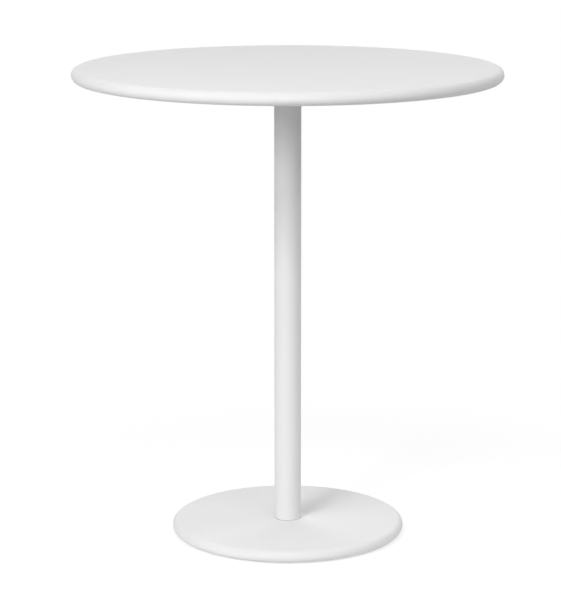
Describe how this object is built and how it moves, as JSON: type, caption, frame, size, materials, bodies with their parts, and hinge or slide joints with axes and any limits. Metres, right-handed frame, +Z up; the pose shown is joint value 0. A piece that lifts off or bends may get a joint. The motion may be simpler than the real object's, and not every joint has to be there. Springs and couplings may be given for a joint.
{
  "type": "wine table",
  "caption": "Round pedestal side table: a thin disc top with a fully rounded rim on a slim straight column and a smaller weighted disc base on screw-in levelling glides.",
  "frame": {"origin": "on the floor, on the column's axis, with the glides wound in", "axes": "+Z up along the column; X and Y level, each through two of the glides; the picture looks along +Y"},
  "size_m": [0.5999, 0.6, 0.67],
  "materials": {
    "powder_coat": "matte",
    "zinc_plated_steel": "satin",
    "core_board": "matte",
    "gasket_rubber": "matte",
    "ballast_paint": "matte",
    "glide_nylon": "matte"
  },
  "bodies": {
    "table": {"top_skin": "powder_coat", "top_core": "core_board", "underside_pan": "powder_coat", "threaded_inserts": "zinc_plated_steel", "top_flange": "powder_coat", "flange_spigot": "zinc_plated_steel", "flange_weld": "powder_coat", "flange_washers": "zinc_plated_steel", "flange_screws": "zinc_plated_steel", "column_tube": "powder_coat", "foot_plug": "zinc_plated_steel", "locating_pins": "zinc_plated_steel", "foot_gasket": "gasket_rubber", "base_cover": "powder_coat", "ballast_disc": "ballast_paint", "centre_bolt": "zinc_plated_steel", "clamp_washer": "zinc_plated_steel", "lock_washer": "zinc_plated_steel"},
    "glide_1": {"glide_pad_1": "glide_nylon"},
    "stem_1": {"glide_stem_1": "zinc_plated_steel"},
    "glide_2": {"glide_pad_2": "glide_nylon"},
    "stem_2": {"glide_stem_2": "zinc_plated_steel"},
    "glide_3": {"glide_pad_3": "glide_nylon"},
    "stem_3": {"glide_stem_3": "zinc_plated_steel"},
    "glide_4": {"glide_pad_4": "glide_nylon"},
    "stem_4": {"glide_stem_4": "zinc_plated_steel"}
  },
  "joints": [
    {"name": "glide_1_extend", "type": "slide", "parent": "table", "child": "glide_1", "axis": [0, 0, -1], "range_m": [0, 0.005]},
    {"name": "glide_1_turn", "type": "hinge", "parent": "glide_1", "child": "stem_1", "pos_m": [0.13075, 0, 0.009], "axis": [0, 0, -1], "range_deg": [0, 1440]},
    {"name": "glide_2_extend", "type": "slide", "parent": "table", "child": "glide_2", "axis": [0, 0, -1], "range_m": [0, 0.005]},
    {"name": "glide_2_turn", "type": "hinge", "parent": "glide_2", "child": "stem_2", "pos_m": [0, 0.13075, 0.009], "axis": [0, 0, -1], "range_deg": [0, 1440]},
    {"name": "glide_3_extend", "type": "slide", "parent": "table", "child": "glide_3", "axis": [0, 0, -1], "range_m": [0, 0.005]},
    {"name": "glide_3_turn", "type": "hinge", "parent": "glide_3", "child": "stem_3", "pos_m": [-0.13075, 0, 0.009], "axis": [0, 0, -1], "range_deg": [0, 1440]},
    {"name": "glide_4_extend", "type": "slide", "parent": "table", "child": "glide_4", "axis": [0, 0, -1], "range_m": [0, 0.005]},
    {"name": "glide_4_turn", "type": "hinge", "parent": "glide_4", "child": "stem_4", "pos_m": [0, -0.13075, 0.009], "axis": [0, 0, -1], "range_deg": [0, 1440]}
  ],
  "couplings": [
    {"joint": "glide_1_turn", "follows": "glide_1_extend", "rad_per_m": 5026.5},
    {"joint": "glide_2_turn", "follows": "glide_2_extend", "rad_per_m": 5026.5},
    {"joint": "glide_3_turn", "follows": "glide_3_extend", "rad_per_m": 5026.5},
    {"joint": "glide_4_turn", "follows": "glide_4_extend", "rad_per_m": 5026.5}
  ]
}
